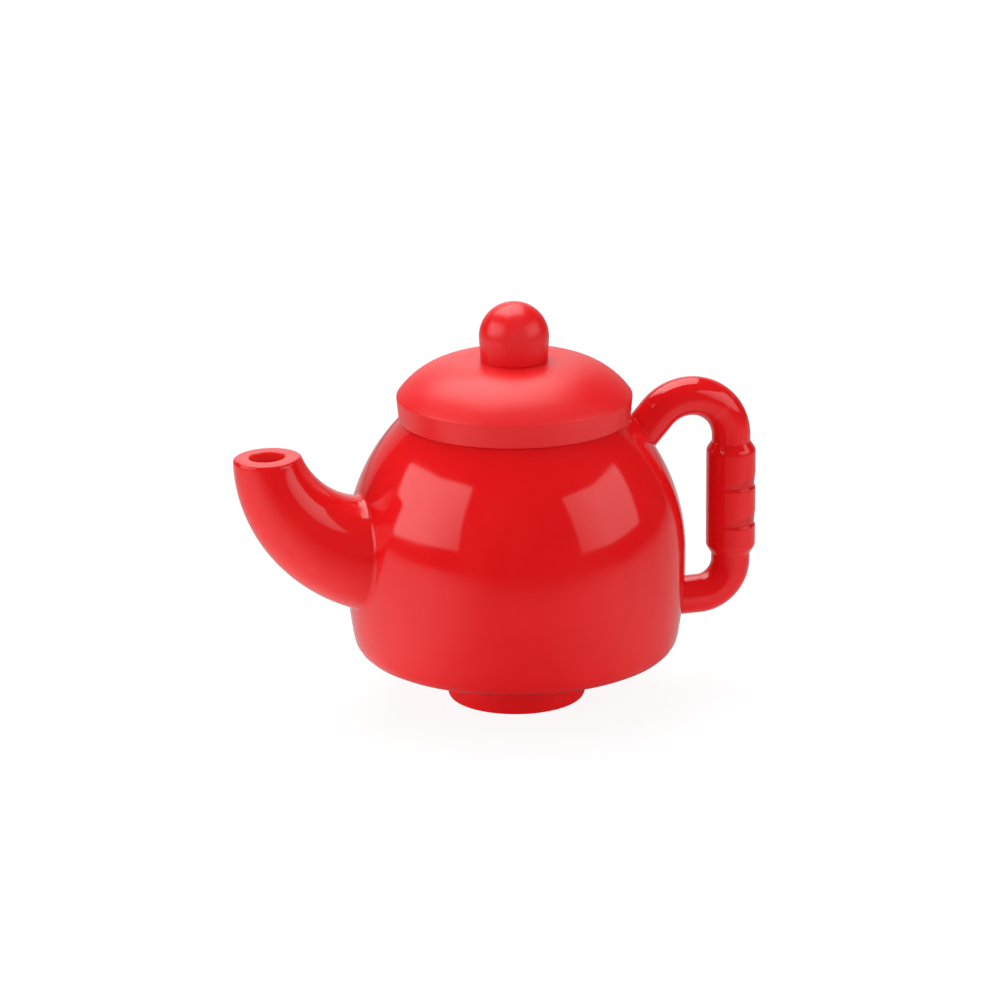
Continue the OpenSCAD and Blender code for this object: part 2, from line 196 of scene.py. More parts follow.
def turning_tree():
    """The rule of every turned piece: its outline is swung round an axis, with a ring of faces for each step of it."""
    tree = bpy.data.node_groups.new("turned round an axis", "GeometryNodeTree")
    for name, kind in (("Outline", "Geometry"), ("Sides", "Int"), ("Axis", "Vector"), ("Material", "Material")):
        tree.interface.new_socket(name, in_out="INPUT", socket_type="NodeSocket" + kind)
    tree.interface.new_socket("Piece", in_out="OUTPUT", socket_type="NodeSocketGeometry")
    asked = add(tree, "NodeGroupInput").outputs
    count = add(tree, "GeometryNodeAttributeDomainSize", {"Geometry": asked["Outline"]}).outputs["Point Count"]
    seams = add(tree, "ShaderNodeMath", {0: asked["Sides"], 1: 1.0}, operation="ADD").outputs["Value"]
    grid = add(tree, "GeometryNodeMeshGrid", {"Size X": 1.0, "Size Y": 1.0, "Vertices X": count, "Vertices Y": seams})
    place = add(tree, "GeometryNodeInputPosition").outputs["Position"]
    spot = add(tree, "ShaderNodeSeparateXYZ", {0: place}).outputs
    share = add(tree, "ShaderNodeMath", {0: spot["X"], 1: 0.5}, operation="ADD").outputs["Value"]
    last = add(tree, "ShaderNodeMath", {0: count, 1: 1.0}, operation="SUBTRACT").outputs["Value"]
    column = add(tree, "ShaderNodeMath", {0: share, 1: last}, operation="MULTIPLY").outputs["Value"]
    whole = add(tree, "ShaderNodeMath", {0: column}, operation="ROUND").outputs["Value"]
    sample = add(tree, "GeometryNodeSampleIndex", {"Geometry": asked["Outline"], "Index": whole},
                 data_type="FLOAT_VECTOR", domain="POINT")
    tree.links.new(place, sample.inputs["Value"])
    drawn = add(tree, "ShaderNodeSeparateXYZ", {0: sample.outputs[0]}).outputs
    turn = add(tree, "ShaderNodeMath", {0: spot["Y"], 1: 2 * math.pi}, operation="MULTIPLY").outputs["Value"]
    across = add(tree, "ShaderNodeMath", {0: turn}, operation="COSINE").outputs["Value"]
    aside = add(tree, "ShaderNodeMath", {0: turn}, operation="SINE").outputs["Value"]
    x = add(tree, "ShaderNodeMath", {0: drawn["X"], 1: across}, operation="MULTIPLY").outputs["Value"]
    y = add(tree, "ShaderNodeMath", {0: drawn["X"], 1: aside}, operation="MULTIPLY").outputs["Value"]
    swung = add(tree, "ShaderNodeCombineXYZ", {"X": x, "Y": y, "Z": drawn["Z"]}).outputs["Vector"]
    moved = add(tree, "ShaderNodeVectorMath", {0: swung, 1: asked["Axis"]}, operation="ADD").outputs["Vector"]
    placed = add(tree, "GeometryNodeSetPosition", {"Geometry": grid.outputs["Mesh"], "Position": moved})
    closed = add(tree, "GeometryNodeMergeByDistance", {"Geometry": placed.outputs["Geometry"], "Distance": 1e-7})
    smooth = add(tree, "GeometryNodeSetShadeSmooth", {"Geometry": closed.outputs["Geometry"]})
    whole_piece = add(tree, "GeometryNodeRealizeInstances", {"Geometry": smooth.outputs["Geometry"]})
    finished = add(tree, "GeometryNodeSetMaterial",
                   {"Geometry": whole_piece.outputs["Geometry"], "Material": asked["Material"]})
    add(tree, "NodeGroupOutput", {"Piece": finished.outputs["Geometry"]})
    return tree


turning = turning_tree()


def run_tree(piece, tree, values):
    """Runs a tree on a piece with those named inputs, and leaves the result as the piece's own plain mesh."""
    modifier = piece.modifiers.new(tree.name, "NODES")
    modifier.node_group = tree
    for socket in tree.interface.items_tree:
        if socket.in_out == "INPUT" and socket.name in values:
            modifier[socket.identifier] = values[socket.name]
    made = bpy.data.meshes.new_from_object(piece.evaluated_get(bpy.context.evaluated_depsgraph_get()))
    piece.modifiers.remove(modifier)
    piece.data = made
    made.name = piece.name
    return piece


def face_outwards(mesh):
    """Turns every face of a closed mesh outwards."""
    work = bmesh.new()
    work.from_mesh(mesh)
    bmesh.ops.recalc_face_normals(work, faces=work.faces)
    work.to_mesh(mesh)
    work.free()


def new_piece(name, points, faces=(), edges=()):
    """A mesh object at the origin, in the scene."""
    mesh = bpy.data.meshes.new(name)
    mesh.from_pydata([tuple(point) for point in points], list(edges), list(faces))
    piece = bpy.data.objects.new(name, mesh)
    bpy.context.scene.collection.objects.link(piece)
    return piece


def turned(name, points, material, sides=192, axis=(0.0, 0.0, 0.0)):
    """A piece turned round an upright axis from its outline of radii and heights."""
    piece = new_piece(name, [(r, 0.0, z) for r, z in points], edges=[(k, k + 1) for k in range(len(points) - 1)])
    run_tree(piece, turning, {"Sides": sides, "Axis": axis, "Material": material})
    face_outwards(piece.data)
    return piece


def flank_r(z, depth=0.0):
    """Radius of the pot's outline below the widest ring, set in by a depth."""
    return flank_centre_r + math.sqrt((flank_bend_r - depth) ** 2 - (z - belly_z) ** 2)


def shoulder_r(z, depth=0.0):
    """Radius of the pot's outline above the widest ring, set in by a depth."""
    return shoulder_centre_r + math.sqrt((shoulder_bend_r - depth) ** 2 - (z - belly_z) ** 2)


def pot_side(depth, edge_r, low_z, top_z):
    """Side of the pot's outline, set in by a depth, from a height on the shoulder, over the widest ring, to below."""
    top = math.degrees(math.asin((top_z - belly_z) / (shoulder_bend_r - depth)))
    edge_fall = belly_z - low_z - edge_r
    edge_bend = flank_bend_r - depth - edge_r
    edge_centre = flank_centre_r + math.sqrt(edge_bend ** 2 - edge_fall ** 2), low_z + edge_r
    edge_turn = math.degrees(math.asin(edge_fall / edge_bend))
    return np.vstack([
        arc((shoulder_centre_r, belly_z), shoulder_bend_r - depth, top, 0),
        arc((flank_centre_r, belly_z), flank_bend_r - depth, 0, -edge_turn)[1:],
        arc(edge_centre, edge_r, -edge_turn, -90, 60)[1:]])


seat_r = shoulder_r(seat_z)
collar_r = neck_r + collar_t
collar_low_z = seat_z - collar_h
collar_root_z = belly_z + math.sqrt((shoulder_bend_r - pot_wall) ** 2 - (collar_r - shoulder_centre_r) ** 2)
inner_floor_z = underside_z + pot_wall
outside = pot_side(0.0, lower_edge_r, underside_z, seat_z)
inside = pot_side(pot_wall, inner_edge_r, inner_floor_z, collar_root_z)[::-1]
pot_outline = outline(
    [[(neck_r, seat_z), (seat_r, seat_z)],
     outside,
     [tuple(outside[-1]), (rebate_r, underside_z)],
     [(rebate_r, underside_z), (rebate_r, underside_z + rebate_h)],
     [(rebate_r, underside_z + rebate_h), (ledge_r, underside_z + rebate_h)],
     [(ledge_r, underside_z + rebate_h), (ledge_r, inner_floor_z)],
     [(ledge_r, inner_floor_z), tuple(inside[0])],
     inside,
     [(collar_r, collar_root_z), (collar_r, collar_low_z)],
     [(collar_r, collar_low_z), (neck_r, collar_low_z)],
     [(neck_r, collar_low_z), (neck_r, seat_z)]],
    [0.15 * mm, 0, 0.12 * mm, 0.06 * mm, 0.12 * mm, 0.15 * mm, 0, 0.1 * mm, 0.2 * mm, 0.2 * mm, 0.15 * mm],
    pitch=0.6 * mm)
pot_body = turned("pot_body", pot_outline, gloss_red)

spigot_r, spigot_z = 4.2 * mm, 16.37 * mm
peg_r, upper_peg_z, arm_z = 1.1 * mm, 26.122 * mm, 8.6 * mm
hole_gap, hole_run = 0.05 * mm, 8 * mm


def bored(piece, holes):
    """Bores level round holes along X through a piece. Each hole is its radius, its height, and the two distances from
    the axis between which it runs."""
    work = bmesh.new()
    for radius, z, start, end in holes:
        level = Matrix.Translation(((start + end) / 2, 0, z)) @ Matrix.Rotation(math.pi / 2, 4, "Y")
        bmesh.ops.create_cone(work, cap_ends=True, segments=64, radius1=radius, radius2=radius,
                              depth=abs(end - start), matrix=level)
    drill = new_piece("drill", [])
    work.to_mesh(drill.data)
    work.free()
    modifier = piece.modifiers.new("holes", "BOOLEAN")
    modifier.object, modifier.operation, modifier.solver = drill, "DIFFERENCE", "EXACT"
    made = bpy.data.meshes.new_from_object(piece.evaluated_get(bpy.context.evaluated_depsgraph_get()))
    piece.modifiers.remove(modifier)
    piece.data = made
    made.name = piece.name
    bpy.data.objects.remove(drill)
    return piece


bored(pot_body, [(spigot_r + hole_gap, spigot_z, -belly_r - hole_run, -belly_r + hole_run),
                 (peg_r + hole_gap, upper_peg_z, belly_r - hole_run, belly_r + hole_run),
                 (peg_r + hole_gap, arm_z, belly_r - hole_run, belly_r + hole_run)])
for face in pot_body.data.polygons:
    face.use_smooth = True
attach(pot_body, "pot")
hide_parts("body_shell")

# Base: a moulded disc in the same red ABS, welded into the rebate under the pot, so that it closes the shell.
# The foot is a short tube on it, with a softly rounded standing edge, and the socket in it presses on to a stud.
base_flange_r, base_plug_r = 13.209 * mm, 12.409 * mm
base_flange_z, base_top_z = 5.6 * mm, 6.5 * mm
foot_r, foot_edge_r, foot_root_r = 6.8 * mm, 0.4 * mm, 0.22 * mm
socket_r, socket_top_z = 4.7 * mm, 4.9 * mm

base_outline = outline(
    [[(0, socket_top_z), (socket_r, socket_top_z)],
     [(socket_r, socket_top_z), (socket_r, 0)],
     [(socket_r, 0), (foot_r, 0)],
     [(foot_r, 0), (foot_r, underside_z)],
     [(foot_r, underside_z), (base_flange_r, underside_z)],
     [(base_flange_r, underside_z), (base_flange_r, base_flange_z)],
     [(base_flange_r, base_flange_z), (base_plug_r, base_flange_z)],
     [(base_plug_r, base_flange_z), (base_plug_r, base_top_z)],
     [(base_plug_r, base_top_z), (0, base_top_z)]],
    [0.1 * mm, 0.25 * mm, foot_edge_r, foot_root_r, 0.12 * mm, 0.1 * mm, 0.05 * mm, 0.2 * mm],
    pitch=0.6 * mm)
pot_base = turned("pot_base", base_outline, gloss_red, sides=128)
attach(pot_base, "pot")
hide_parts("base_plate")

# Spout: one curved, tapered horn in glossy red ABS, with a pouring channel down its middle.
# Its spigot is pressed through the pot's wall and glued, and a small fillet runs round the joint outside.
spout_bend_r, spout_start_x, spout_z = 12.45 * mm, 12.6 * mm, 15.9 * mm
spout_wall_r, spout_mouth_r, spout_waist = 5.45 * mm, 3.3 * mm, 0.05 * mm
channel_root_r, channel_mouth_r = 3.0 * mm, 1.72 * mm
wall_turn, mouth_turn = math.radians(19.72), math.radians(82.38)
mouth_tilt = math.radians(2)
spigot_end_x = 14.8 * mm
spout_fillet, lip_r, hole_lip_r = 0.3 * mm, 0.3 * mm, 0.16 * mm
spout_sides, fillet_steps, lip_steps, skin_steps, channel_steps = 96, 8, 8, 61, 31
round_turns = np.linspace(0, 2 * math.pi, spout_sides, endpoint=False)


def pot_distance(points):
    """How far points lie outside the pot's skin."""
    reach, rise = np.hypot(points[:, 0], points[:, 1]), points[:, 2] - belly_z
    above = np.hypot(reach - shoulder_centre_r, rise) - shoulder_bend_r
    below = np.hypot(reach - flank_centre_r, rise) - flank_bend_r
    return np.where(rise >= 0, above, below)


def on_pot(y, z, side):
    """Points of the pot's skin at that y and z, on the spout's side (-1) or the handle's (+1)."""
    rise = z - belly_z
    bend = np.where(rise >= 0, shoulder_bend_r, flank_bend_r)
    centre = np.where(rise >= 0, shoulder_centre_r, flank_centre_r)
    reach = centre + np.sqrt(bend ** 2 - rise ** 2)
    return np.stack([side * np.sqrt(reach ** 2 - y ** 2), y, z], 1)


def where_above(skin, height, low, high):
    """For each side of a tube, how far along it the skin stands that high above the pot, found by halving."""
    halvings = 44
    low, high = np.full(len(skin(low)), float(low)), np.full(len(skin(low)), float(high))
    for _ in range(halvings):
        middle = (low + high) / 2
        outside_it = pot_distance(skin(middle)) > height
        low, high = np.where(outside_it, low, middle), np.where(outside_it, middle, high)
    return (low + high) / 2


def fillet_rings(skin, fillet, low, high):
    """Rings of a fillet where a tube meets the pot, from the tube's own skin out to just under the pot's, and the
    tube's stations where it starts."""
    foot_under_skin = 0.02 * mm
    rings = []
    for turn in np.linspace(0, math.pi / 2, fillet_steps + 1):
        out, height = fillet * (1 - math.cos(turn)), fillet * (1 - math.sin(turn))
        if turn == math.pi / 2:
            height = -foot_under_skin
        stations = where_above(lambda s: skin(s, out), height, low, high)
        rings.append(skin(stations, out))
    starts = where_above(lambda s: skin(s, 0.0), fillet, low, high)
    return rings, starts


def lofted(name, rings, material, looped):
    """A tube through rings with the same number of points, joined back to its first ring or closed at both ends."""
    rings = np.array(rings)
    count, sides = rings.shape[:2]
    points = [tuple(point) for ring in rings for point in ring]
    faces = []
    for k in range(count if looped else count - 1):
        a, b = k * sides, ((k + 1) % count) * sides
        faces += [(a + s, a + (s + 1) % sides, b + (s + 1) % sides, b + s) for s in range(sides)]
    if not looped:
        for ring in (0, count - 1):
            points.append(tuple(rings[ring].mean(0)))
            faces += [(ring * sides + s, ring * sides + (s + 1) % sides, len(points) - 1) for s in range(sides)]
    piece = new_piece(name, points, faces)
    face_outwards(piece.data)
    for face in piece.data.polygons:
        face.use_smooth = True
    piece.data.materials.append(material)
    return piece


def spout_section(turn, radius):
    """Points round the spout's centre line at an angle along its bend, on a circle that leans with the mouth."""
    turn, radius = np.broadcast_to(turn, round_turns.shape), np.broadcast_to(radius, round_turns.shape)
    lean = turn + (math.pi / 2 - mouth_tilt - mouth_turn) * (turn - wall_turn) / (mouth_turn - wall_turn)
    x = -spout_start_x - spout_bend_r * np.sin(turn) + radius * np.cos(round_turns) * np.sin(lean)
    z = spout_z + spout_bend_r * (1 - np.cos(turn)) + radius * np.cos(round_turns) * np.cos(lean)
    return np.stack([x, radius * np.sin(round_turns), z], 1)


def taper(turn, root, mouth, waist):
    """Radius at an angle along the bend, from the pot's wall to the mouth."""
    way = (turn - wall_turn) / (mouth_turn - wall_turn)
    return root + (mouth - root) * way - 4 * waist * way * (1 - way)


def spout_skin(turn, out=0.0):
    return spout_section(turn, taper(np.asarray(turn, float), spout_wall_r, spout_mouth_r, spout_waist) + out)


def channel_skin(turn, out=0.0):
    return spout_section(turn, taper(np.asarray(turn, float), channel_root_r, channel_mouth_r, 0.0) + out)


fillet_part, spout_starts = fillet_rings(spout_skin, spout_fillet, 0.0, mouth_turn)
lip_turns = np.linspace(0, math.pi / 2, lip_steps)
lip_start = mouth_turn - lip_r / spout_bend_r
skin_part = [spout_skin(spout_starts + (lip_start - spout_starts) * share)
             for share in np.linspace(0, 1, skin_steps)[1:-1]]
skin_part += [spout_skin(mouth_turn - lip_r * (1 - math.sin(turn)) / spout_bend_r, -lip_r * (1 - math.cos(turn)))
              for turn in lip_turns]
face_part = [spout_section(mouth_turn, radius)
             for radius in np.linspace(spout_mouth_r - lip_r, channel_mouth_r + hole_lip_r, lip_steps)[1:-1]]
hole_part = [channel_skin(mouth_turn - hole_lip_r * (1 - math.cos(turn)) / spout_bend_r,
                          hole_lip_r * (1 - math.sin(turn)))
             for turn in lip_turns]
hole_end = mouth_turn - hole_lip_r / spout_bend_r
channel_end = math.asin((spigot_end_x - spout_start_x) / spout_bend_r)
channel_part = [channel_skin(hole_end + (channel_end - hole_end) * share)
                for share in np.linspace(0, 1, channel_steps)[1:]]
channel_part[-1][:, 0] = -spigot_end_x
spigot_y, spigot_heights = spigot_r * np.sin(round_turns), spigot_z + spigot_r * np.cos(round_turns)
spigot_end = np.stack([np.full(spout_sides, -spigot_end_x), spigot_y, spigot_heights], 1)
spigot_start = on_pot(spigot_y, spigot_heights, -1)
spigot_part = [spigot_end + (spigot_start - spigot_end) * share for share in (0, 0.03, 0.5, 0.97, 1)]
foot_ring = fillet_part[-1]
under_part = []
for share in (0.25, 0.5, 0.75):
    between = spigot_start + (foot_ring - spigot_start) * share
    under_part.append(on_pot(between[:, 1], between[:, 2], -1))
outer_part = fillet_part[::-1] + skin_part + face_part
pot_spout = lofted("pot_spout", outer_part + hole_part + channel_part + spigot_part + under_part,
                   gloss_red, looped=True)
# The spout's channel, past the rings at its mouth, is marked for a brighter red: painted light in the pouring hole.
rings_before_light = 3
inner_rings = np.zeros(len(pot_spout.data.vertices) // spout_sides)
inner_rings[len(outer_part) + rings_before_light:len(outer_part) + len(hole_part) + len(channel_part)] = 1.0
pot_spout.data.attributes.new("painted_inner_light", "FLOAT", "POINT").data.foreach_set("value", np.repeat(inner_rings, spout_sides))
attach(pot_spout, "pot")
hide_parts("spout")

# Handle: one round bar in glossy red ABS, bent from the shoulder over a tight arch, down past the grip and back to the
# flank. Its ends carry pegs that are pressed through the pot's wall, and it is thinner inside the grip, which is
# moulded on to it.
bar_r, core_r, bar_x = 1.93 * mm, 1.3 * mm, 22.4 * mm
arch_r, arch_x, arch_z = 4.42 * mm, 17.98 * mm, 24.82 * mm
arch_turn = math.radians(138.5)
bend_r = 3.4 * mm
grip_low_z, grip_top_z = 12.65 * mm, 24.25 * mm
peg_proud, peg_chamfer, peg_tip_share, handle_fillet = 0.4 * mm, 0.1 * mm, 0.88, 0.03 * mm
bar_turns = np.linspace(0, 2 * math.pi, 64, endpoint=False)


def bar_ring(centre, across, radius):
    """A ring of the bar round a point [x, z], with its first point on the side that across points to."""
    spokes = np.cos(bar_turns)[:, None] * np.array([across[0], 0, across[1]]) + np.sin(bar_turns)[:, None] * [0, 1, 0]
    return np.array([centre[0], 0, centre[1]]) + np.reshape(radius, (-1, 1)) * spokes


def straight_skin(start, way, radius):
    """The skin of a straight stretch of the bar, by how far along it each side is."""
    start, way = np.array(start), np.array(way)

    def skin(along, out=0.0):
        ring = bar_ring(start, (-way[1], way[0]), radius + out)
        return ring + np.broadcast_to(along, bar_turns.shape)[:, None] * [way[0], 0, way[1]]
    return skin


def peg_rings(z, wall_x):
    """Rings of a level peg, from its end inside the pot to the pot's skin."""
    y, heights = peg_r * np.sin(bar_turns), z + peg_r * np.cos(bar_turns)
    start = np.stack([np.full(len(bar_turns), wall_x - peg_proud), y, heights], 1)
    centre = np.array([wall_x - peg_proud, 0, z])
    end = on_pot(y, heights, 1)
    tip = centre + (start - centre) * peg_tip_share
    return [tip, start + [peg_chamfer, 0, 0]] + [start + (end - start) * share for share in (0.3, 0.7, 1)]


leg_way = (math.sin(arch_turn), -math.cos(arch_turn))
leg_end = (arch_x + arch_r * math.cos(arch_turn), arch_z + arch_r * math.sin(arch_turn))
leg_skin = straight_skin(leg_end, leg_way, bar_r)
leg_fillet, leg_starts = fillet_rings(leg_skin, handle_fillet, -6 * mm, 0.0)
arm_end = (bar_x - bend_r, arm_z)
arm_skin = straight_skin(arm_end, (1.0, 0.0), bar_r)
arm_fillet, arm_starts = fillet_rings(arm_skin, handle_fillet, -6 * mm, 0.0)
upper_peg = peg_rings(upper_peg_z, shoulder_r(upper_peg_z, pot_wall))
lower_peg = peg_rings(arm_z, flank_r(arm_z, pot_wall))


def pot_to_foot(peg, foot):
    """Rings on the pot's skin between a peg and the foot of its fillet."""
    rings = []
    for share in (0.33, 0.66):
        between = peg[-1] + (foot - peg[-1]) * share
        rings.append(on_pot(between[:, 1], between[:, 2], 1))
    return rings


def clockwise(centre, radius, start, end, steps):
    """Rings of a bend of the bar, with across pointing out of the bend."""
    return [bar_ring((centre[0] + radius * math.cos(turn), centre[1] + radius * math.sin(turn)),
                     (math.cos(turn), math.sin(turn)), bar_r)
            for turn in np.linspace(start, end, steps)]


def bar_down(z, radius=bar_r):
    """A ring of the upright bar at a height."""
    return bar_ring((bar_x, z), (1.0, 0.0), radius)


def turned_over(ring):
    """The same ring with its first point at the bottom and its points in the other order."""
    return ring[(len(bar_turns) // 2 - np.arange(len(bar_turns))) % len(bar_turns)]


core_run_in = 0.12 * mm
loop = upper_peg + pot_to_foot(upper_peg, leg_fillet[-1]) + leg_fillet[::-1]
loop += [leg_skin(leg_starts * (1 - share)) for share in np.linspace(0, 1, 13)[1:-1]]
loop += clockwise((arch_x, arch_z), arch_r, arch_turn, 0, 61)
loop += [bar_down(z) for z in np.linspace(arch_z, grip_top_z, 5)[1:]]
loop += [bar_down(grip_top_z - core_run_in, bar_r), bar_down(grip_top_z - core_run_in, core_r)]
loop += [bar_down(z, core_r) for z in np.linspace(grip_top_z - 2 * core_run_in, grip_low_z + 2 * core_run_in, 12)]
loop += [bar_down(grip_low_z + core_run_in, core_r), bar_down(grip_low_z + core_run_in, bar_r)]
loop += [bar_down(z) for z in np.linspace(grip_low_z, arm_z + bend_r, 5)[:-1]]
loop += clockwise((bar_x - bend_r, arm_z + bend_r), bend_r, 0, -math.pi / 2, 41)
loop += [turned_over(arm_skin(arm_starts * share)) for share in np.linspace(0, 1, 9)[1:-1]]
loop += [turned_over(ring) for ring in arm_fillet + pot_to_foot(lower_peg, arm_fillet[-1])[::-1] + lower_peg[::-1]]
handle_loop = lofted("handle_loop", loop, gloss_red, looped=False)
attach(handle_loop, "pot")
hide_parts("handle_bar")

# Grip: a thicker sleeve in the same red ABS, moulded round the bar's core, for a play figure's hand.
# Its ends are bevelled, and two shallow finger grooves are pressed in at the back and fade out towards the pot.
grip_r, grip_bevel, bevel_round_r = 2.47 * mm, 0.82 * mm, 1.0 * mm
groove_depth, groove_width, groove_lip = 0.14 * mm, 1.65 * mm, 0.28 * mm
groove_pitch, groove_mid_z = 3.9 * mm, 17.55 * mm
groove_fade = 0.8


def groove_tree():
    """The rule of the finger grooves: wedges across the bar, a pitch apart. Each slopes in from its upper edge and
    steps back out over a short lip at its lower edge. It is widest and deepest at the back, and fades out that share
    of the way round to the pot's side. It is marked for a duller film and for painted shade in its colour."""
    tree = bpy.data.node_groups.new("finger grooves", "GeometryNodeTree")
    for name, kind in (("Sleeve", "Geometry"), ("Bar", "Vector"), ("Depth", "Float"), ("Width", "Float"),
                       ("Lip", "Float"), ("Pitch", "Float"), ("Fade", "Float"), ("Outer skin from", "Float"),
                       ("Material", "Material")):
        tree.interface.new_socket(name, in_out="INPUT", socket_type="NodeSocket" + kind)
    tree.interface.new_socket("Piece", in_out="OUTPUT", socket_type="NodeSocketGeometry")
    asked = add(tree, "NodeGroupInput").outputs

    def maths(operation, *values):
        return add(tree, "ShaderNodeMath", dict(enumerate(values)), operation=operation).outputs["Value"]

    place = add(tree, "GeometryNodeInputPosition").outputs["Position"]
    from_bar = add(tree, "ShaderNodeVectorMath", {0: place, 1: asked["Bar"]}, operation="SUBTRACT").outputs["Vector"]
    flat = add(tree, "ShaderNodeVectorMath", {0: from_bar, 1: (1.0, 1.0, 0.0)}, operation="MULTIPLY").outputs["Vector"]
    outwards = add(tree, "ShaderNodeVectorMath", {0: flat}, operation="NORMALIZE").outputs["Vector"]
    reach = add(tree, "ShaderNodeVectorMath", {0: flat}, operation="LENGTH").outputs["Value"]
    back = add(tree, "ShaderNodeSeparateXYZ", {0: outwards}).outputs["X"]
    rise = add(tree, "ShaderNodeSeparateXYZ", {0: from_bar}).outputs["Z"]
    from_fade = maths("DIVIDE", maths("ADD", back, asked["Fade"]), maths("ADD", asked["Fade"], 1.0))
    share = maths("SQRT", maths("MAXIMUM", from_fade, 0.0))
    above_lower = maths("ADD", rise, maths("MULTIPLY", asked["Pitch"], 0.5))
    above_edge = maths("SUBTRACT", above_lower, maths("MULTIPLY", maths("GREATER_THAN", rise, 0.0), asked["Pitch"]))
    width_here = maths("MAXIMUM", maths("MULTIPLY", asked["Width"], share), asked["Lip"])
    shortest_slope = 0.01 * mm
    slope_run = maths("MAXIMUM", maths("SUBTRACT", width_here, asked["Lip"]), shortest_slope)
    slope = maths("DIVIDE", maths("SUBTRACT", width_here, above_edge), slope_run)
    step = maths("DIVIDE", above_edge, asked["Lip"])
    wedge = maths("MAXIMUM", maths("MINIMUM", maths("MINIMUM", slope, step), 1.0), 0.0)
    pressed = maths("MULTIPLY", maths("MULTIPLY", wedge, asked["Depth"]), share)
    on_skin = maths("GREATER_THAN", reach, asked["Outer skin from"])
    # This mark makes the grooves duller, and darkens their red as painted shade.
    shade_and_film_rise = 3.0
    shade_and_film_cover = maths("MINIMUM", maths("MULTIPLY", wedge, shade_and_film_rise), 1.0)
    groove_shade_and_film = maths("MULTIPLY", maths("MULTIPLY", shade_and_film_cover, share), on_skin)
    inwards = maths("MULTIPLY", maths("MULTIPLY", pressed, on_skin), -1.0)
    shift = add(tree, "ShaderNodeVectorMath", {0: outwards, "Scale": inwards}, operation="SCALE").outputs["Vector"]
    pushed = add(tree, "GeometryNodeSetPosition", {"Geometry": asked["Sleeve"], "Offset": shift})
    marked = add(tree, "GeometryNodeStoreNamedAttribute",
                 {"Geometry": pushed.outputs["Geometry"], "Name": "painted_shade_and_film", "Value": groove_shade_and_film},
                 data_type="FLOAT", domain="POINT")
    whole_piece = add(tree, "GeometryNodeRealizeInstances", {"Geometry": marked.outputs["Geometry"]})
    finished = add(tree, "GeometryNodeSetMaterial",
                   {"Geometry": whole_piece.outputs["Geometry"], "Material": asked["Material"]})
    add(tree, "NodeGroupOutput", {"Piece": finished.outputs["Geometry"]})
    return tree


grip_outline = outline(
    [[(core_r, grip_low_z), (bar_r, grip_low_z)],
     [(bar_r, grip_low_z), (grip_r, grip_low_z + grip_bevel)],
     [(grip_r, grip_low_z + grip_bevel), (grip_r, grip_top_z - grip_bevel)],
     [(grip_r, grip_top_z - grip_bevel), (bar_r, grip_top_z)],
     [(bar_r, grip_top_z), (core_r, grip_top_z)],
     [(core_r, grip_top_z), (core_r, grip_low_z)]],
    [0.05 * mm, bevel_round_r, bevel_round_r, 0.05 * mm, 0.05 * mm, 0.05 * mm],
    pitch=0.12 * mm)
handle_sleeve = turned("handle_sleeve", grip_outline, gloss_red, sides=96, axis=(bar_x, 0.0, 0.0))
run_tree(handle_sleeve, groove_tree(), {
    "Bar": (bar_x, 0.0, groove_mid_z), "Depth": groove_depth, "Width": groove_width, "Lip": groove_lip,
    "Pitch": groove_pitch, "Fade": groove_fade, "Outer skin from": bar_r, "Material": gloss_red})
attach(handle_sleeve, "pot")
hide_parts("handle_grip")

# Lid: a domed cover in satin red ABS, with an upright band that rests on the pot's seat and a hole for the knob's stem.
# The mould was turned on a lathe, and its fine lines still ring the crown.
lid_foot_r, lid_rim_r = 11.361 * mm, 11.581 * mm
band_top_z, crown_z = 30.9 * mm, 34.419 * mm
crown_bend_r, crown_flat_r = 8.1 * mm, 4.901 * mm
crown_centre_z = crown_z - crown_bend_r
lid_wall = 1.4 * mm
liner_r, liner_top_z, void_r, stem_r = 9.961 * mm, 29.75 * mm, 9.561 * mm, 1.6 * mm
satin_red = moulded_red("satin red plastic", (0.74, 0.0030, 0.0060), (0.79, 0.0050, 0.0080), smooth=0.36, rough=0.42,
                        ripple=0.006 * mm, grain=0.0006 * mm, ring_lines=0.010 * mm)

crown_rim_turn = math.degrees(math.acos((lid_rim_r - crown_flat_r) / crown_bend_r))
void_turn = math.degrees(math.acos((void_r - crown_flat_r) / (crown_bend_r - lid_wall)))
void_top_z = crown_centre_z + (crown_bend_r - lid_wall) * math.sin(math.radians(void_turn))
lid_outline = outline(
    [[(stem_r + hole_gap, crown_z), (crown_flat_r, crown_z)],
     arc((crown_flat_r, crown_centre_z), crown_bend_r, 90, crown_rim_turn),
     [(lid_rim_r, band_top_z), (lid_foot_r, seat_z)],
     [(lid_foot_r, seat_z), (liner_r + hole_gap, seat_z)],
     [(liner_r + hole_gap, seat_z), (liner_r + hole_gap, liner_top_z)],
     [(liner_r + hole_gap, liner_top_z), (void_r, liner_top_z)],
     [(void_r, liner_top_z), (void_r, void_top_z)],
     arc((crown_flat_r, crown_centre_z), crown_bend_r - lid_wall, void_turn, 90),
     [(crown_flat_r, crown_z - lid_wall), (stem_r + hole_gap, crown_z - lid_wall)],
     [(stem_r + hole_gap, crown_z - lid_wall), (stem_r + hole_gap, crown_z)]],
    [0, 0.4 * mm, 0.2 * mm, 0.08 * mm, 0.05 * mm, 0.08 * mm, 0.1 * mm, 0, 0.08 * mm, 0.08 * mm],
    pitch=0.5 * mm)
lid_dome = turned("lid_dome", lid_outline, satin_red)
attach(lid_dome, "lid")
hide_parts("lid_cover")

